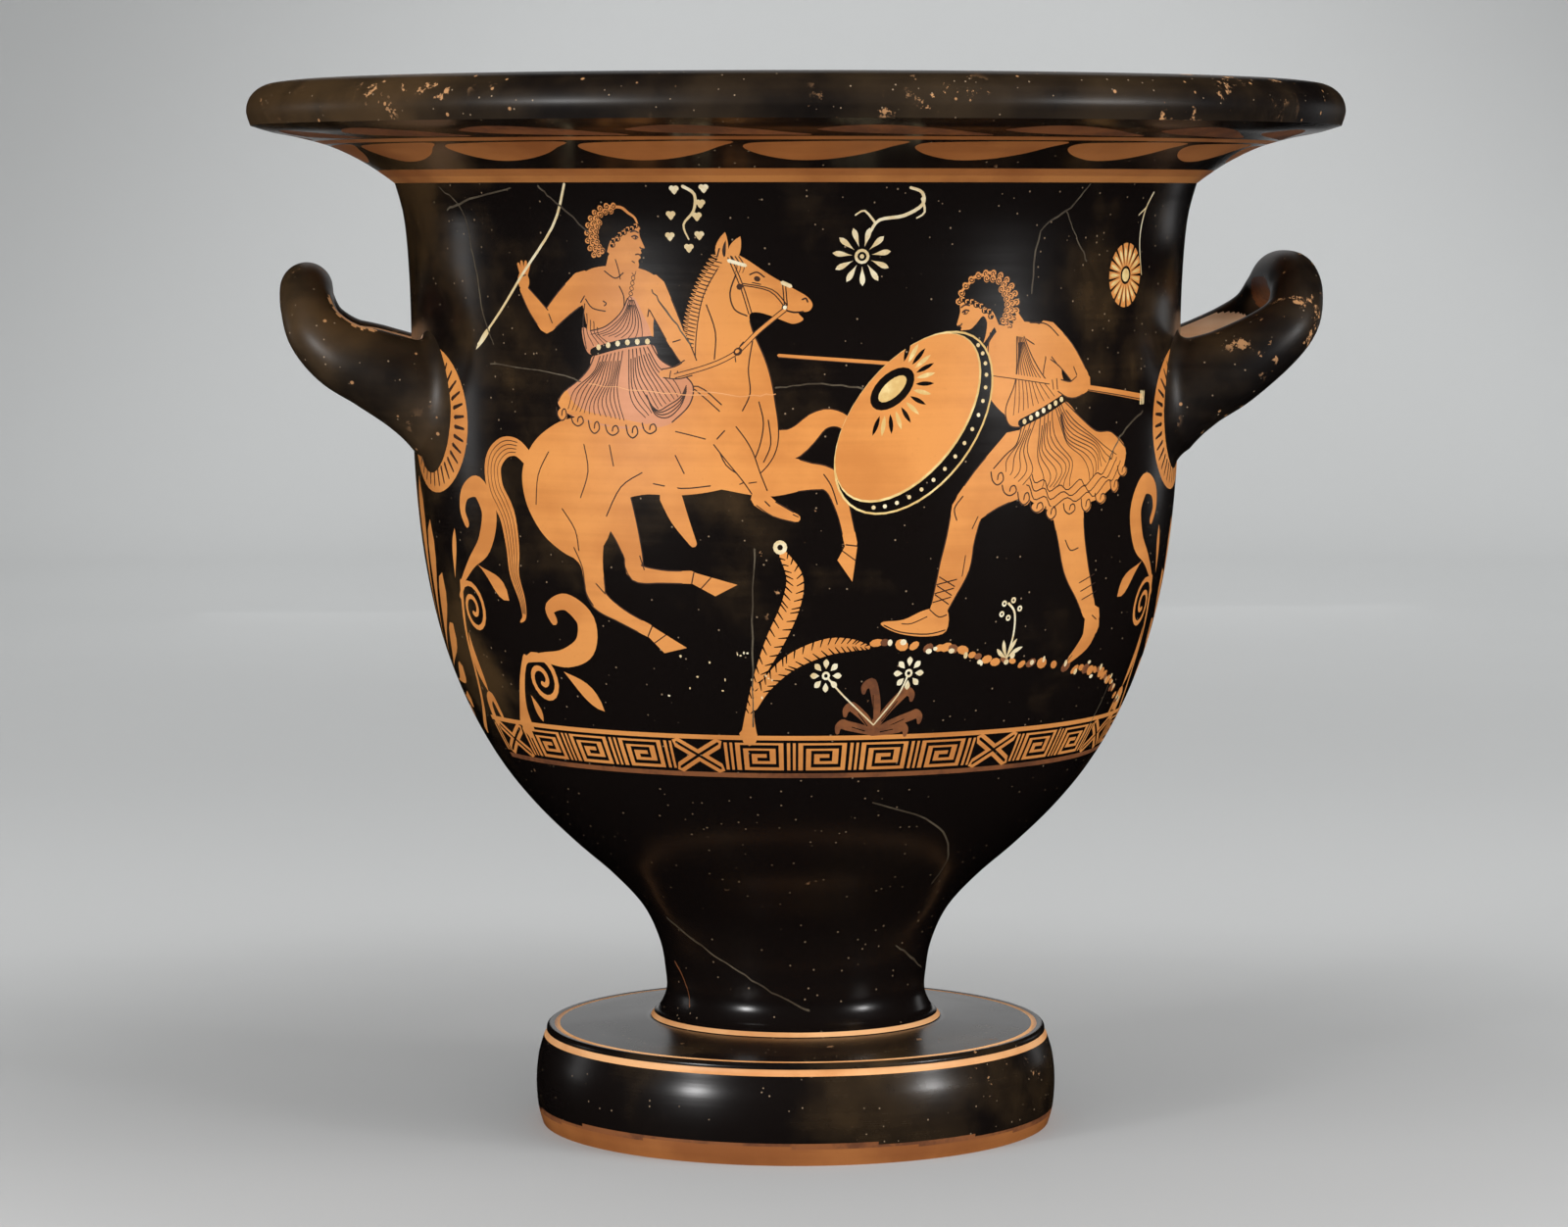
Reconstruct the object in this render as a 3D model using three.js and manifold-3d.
// A bell-krater: a wide pottery bowl for mixing wine and water, with a flaring mouth, a stem, a
// disc foot and two upturned loop handles. The parts were joined while the clay was wet, so the
// fired vase is one solid. Millimetres, +Z up, origin at the middle of the underside, handles on X.
import * as THREE from 'three';
import { mergeVertices } from 'three/addons/utils/BufferGeometryUtils.js';
import Module from 'manifold-3d';

// Driving dimensions.
const height = 373;
const mouthRadius = 195;
const segments = 60;

const foot = {
  ringInner: 83,
  ringOuter: 91.6,
  radius: 93.8,
  shoulder: { radius: 91, height: 31 },
  groove: { inner: 85.6, outer: 87, depth: 0.5 },
  top: 35.3,
  topAtStem: 37.6,
};

const stem = { fillet: 52, filletTop: 40.4, waist: 46.7 };

const lip = { edge: 193.6, underside: 357.6, widestAt: 363, topRadius: 181 };

// Each handle is a loop that leaves the wall as two arms and turns up into a bar.
// reach is the outermost radius, top the highest point. They were shaped by hand and differ a little.
const handles = [
  { side: -1, reach: 183.4, top: 309.5 },
  { side: 1, reach: 186.2, top: 313.5 },
];
const armSpread = 39;
const rootHeight = 261;
const rootDepth = 127;
const arm = { halfHeight: 14.6, halfWidth: 12, rootFlare: 5 };
const barRadius = 9.2;
const handleSteps = 24;
const handleSides = 14;

// Points along a smooth run through the given (radius, height) pairs.
function smoothRun(pairs, pieces) {
  const points = pairs.map(([radius, z]) => new THREE.Vector2(radius, z));
  return new THREE.SplineCurve(points).getPoints(pieces);
}

function corners(pairs) {
  return pairs.map(([radius, z]) => new THREE.Vector2(radius, z));
}

// The outside, from the resting ring up to the top of the lip.
function outerProfile() {
  const { shoulder, groove } = foot;
  const torus = smoothRun([
    [foot.ringOuter, 0],
    [93.2, 6],
    [foot.radius, 15],
    [93, 24],
    [shoulder.radius, shoulder.height],
  ], 4);
  const edgeBead = corners([
    [shoulder.radius - 0.7, shoulder.height + 0.3],
    [shoulder.radius - 0.9, foot.top - 1.8],
    [groove.outer + 0.8, foot.top],
    [groove.outer, foot.top - groove.depth],
    [groove.inner, foot.top - groove.depth],
    [groove.inner - 0.4, foot.top],
    [70, 36.2],
    [stem.fillet + 2, foot.topAtStem],
  ]);
  const fillet = corners([
    [stem.fillet, foot.topAtStem + 0.3],
    [stem.fillet - 0.4, stem.filletTop - 1],
    [stem.fillet - 2.2, stem.filletTop],
  ]);
  const wall = smoothRun([
    [49.2, 41], [stem.waist, 47], [47, 54], [49, 65], [55, 78], [66, 90.2], [79.5, 102],
    [93, 115.2], [104.5, 129.2], [113.6, 144], [121.3, 160.5], [127.6, 179], [132.6, 202],
    [135.7, 228], [137, 255], [137.2, 280], [137.9, 305], [139.6, 325], [142.8, 337.4],
  ], 18).slice(1);
  const neck = smoothRun([
    [142.8, 337.4], [148.6, 341.6], [156.6, 346.4], [166, 350.6], [177, 353.6],
    [186, 355.3], [lip.edge, lip.underside],
  ], 6).slice(1);
  const roll = smoothRun([
    [lip.edge, lip.underside], [mouthRadius, lip.widestAt], [193.2, 368.3], [188.3, 371.8],
    [lip.topRadius, height],
  ], 4).slice(1);
  return [...torus, ...edgeBead, ...fillet, ...wall, ...neck, ...roll];
}

// The inside of the bowl, from the top of the lip down to the middle of its floor.
function innerProfile() {
  return smoothRun([
    [lip.topRadius, height], [170.5, 371.8], [159, 364.6], [148, 353], [139, 339.5],
    [133, 322], [130.6, 300], [130, 270], [129.2, 240], [125.6, 205], [117.8, 171], [106.5, 146],
    [90, 121.5], [69, 101], [44, 84.6], [20, 77.4], [0, 76],
  ], 16).slice(1);
}

// The hollow under the foot, from its middle out to the resting ring.
function underProfile() {
  return smoothRun([
    [0, 63], [17, 60.4], [31, 50], [41, 35], [54, 23.5], [68, 15], [78.5, 7.5], [foot.ringInner, 0],
  ], 7);
}

// A solid for joining, from geometry whose vertices are merged and whose flat slivers are dropped.
function toManifold(wasm, geometry) {
  const bare = geometry.clone();
  bare.deleteAttribute('normal');
  bare.deleteAttribute('uv');
  const merged = mergeVertices(bare, 1e-4);
  const found = merged.index.array;
  const kept = [];
  for (let i = 0; i < found.length; i += 3) {
    const [a, b, c] = found.slice(i, i + 3);
    if (a !== b && b !== c && c !== a) {
      kept.push(a, b, c);
    }
  }
  return new wasm.Manifold(new wasm.Mesh({
    numProp: 3,
    vertProperties: new Float32Array(merged.attributes.position.array),
    triVerts: new Uint32Array(kept),
  }));
}

function toGeometry(solid) {
  const { vertProperties, triVerts } = solid.getMesh();
  const geometry = new THREE.BufferGeometry();
  geometry.setAttribute('position', new THREE.BufferAttribute(vertProperties, 3));
  geometry.setIndex(new THREE.BufferAttribute(triVerts, 1));
  geometry.computeVertexNormals();
  return geometry;
}

function turnedBody() {
  const profile = [...underProfile(), ...outerProfile(), ...innerProfile()];
  const geometry = new THREE.LatheGeometry(profile, segments);
  geometry.rotateX(Math.PI / 2);
  return geometry;
}

// The middle line of one handle, from the near root round the bar to the far root.
function handleLine({ side, reach, top }) {
  const barCentre = reach - barRadius;
  const barHeight = top - barRadius;
  const nearHalf = [
    [rootDepth, -armSpread + 1.5, rootHeight],
    [rootDepth + 11, -armSpread + 0.2, rootHeight + 6],
    [rootDepth + 23, -armSpread - 0.4, rootHeight + 11.6],
    [barCentre - 12.4, -armSpread + 0.6, barHeight - 22.4],
    [barCentre - 4, -armSpread + 4.4, barHeight - 14.6],
    [barCentre - 0.6, -armSpread + 12.4, barHeight - 6],
    [barCentre, -armSpread + 24, barHeight - 1],
  ];
  const farHalf = nearHalf.map(([x, y, z]) => [x, -y, z]).reverse();
  const points = [...nearHalf, [barCentre, 0, barHeight], ...farHalf]
    .map(([x, y, z]) => new THREE.Vector3(side * x, y, z));
  return new THREE.CatmullRomCurve3(points, false, 'centripetal');
}

// The half height and half width of a handle's section, at a share t of its length.
// The arms are ovals that thicken towards the wall, and the bar between them is round.
function handleSection(t) {
  const fromRoot = Math.min(t, 1 - t);
  const flare = arm.rootFlare * Math.exp(-fromRoot / 0.06);
  const toBar = THREE.MathUtils.smoothstep(fromRoot, 0.05, 0.38);
  return [
    THREE.MathUtils.lerp(arm.halfHeight, barRadius, toBar) + flare,
    THREE.MathUtils.lerp(arm.halfWidth, barRadius, toBar) + flare,
  ];
}

// A closed cylinder bent along the handle's line, its section changing on the way.
function handleGeometry(handle) {
  const line = handleLine(handle);
  const inwardAndUp = new THREE.Vector3(-0.85 * handle.side, 0, 0.5);
  const geometry = new THREE.CylinderGeometry(1, 1, 1, handleSides, handleSteps);
  const place = geometry.attributes.position;
  const local = new THREE.Vector3();
  for (let i = 0; i < place.count; i += 1) {
    local.fromBufferAttribute(place, i);
    const t = local.y + 0.5;
    const [halfHeight, halfWidth] = handleSection(t);
    const along = line.getTangentAt(t);
    const across = new THREE.Vector3().crossVectors(along, inwardAndUp).normalize();
    const upward = new THREE.Vector3().crossVectors(across, along);
    const point = line.getPointAt(t)
      .addScaledVector(upward, local.x * halfHeight)
      .addScaledVector(across, -local.z * halfWidth);
    place.setXYZ(i, point.x, point.y, point.z);
  }
  return geometry;
}

// The space in the bowl, filled to above the mouth, which trims the handles' roots.
function bowlSpace() {
  const inside = innerProfile();
  const rim = new THREE.Vector2(lip.topRadius, height);
  const mouth = new THREE.Vector2(0, height);
  const geometry = new THREE.LatheGeometry([...inside.reverse(), rim, mouth], segments);
  geometry.rotateX(Math.PI / 2);
  return geometry;
}

async function makeKrater() {
  const wasm = await Module();
  wasm.setup();
  let krater = toManifold(wasm, turnedBody());
  const space = toManifold(wasm, bowlSpace());
  for (const handle of handles) {
    const loop = toManifold(wasm, handleGeometry(handle)).subtract(space);
    krater = krater.add(loop);
  }
  const glaze = new THREE.MeshStandardMaterial({ color: 0x1c1512, roughness: 0.28, metalness: 0 });
  const mesh = new THREE.Mesh(toGeometry(krater), glaze);
  mesh.name = 'krater';
  return mesh;
}

const vase = new THREE.Group();
vase.add(await makeKrater());

export default vase;
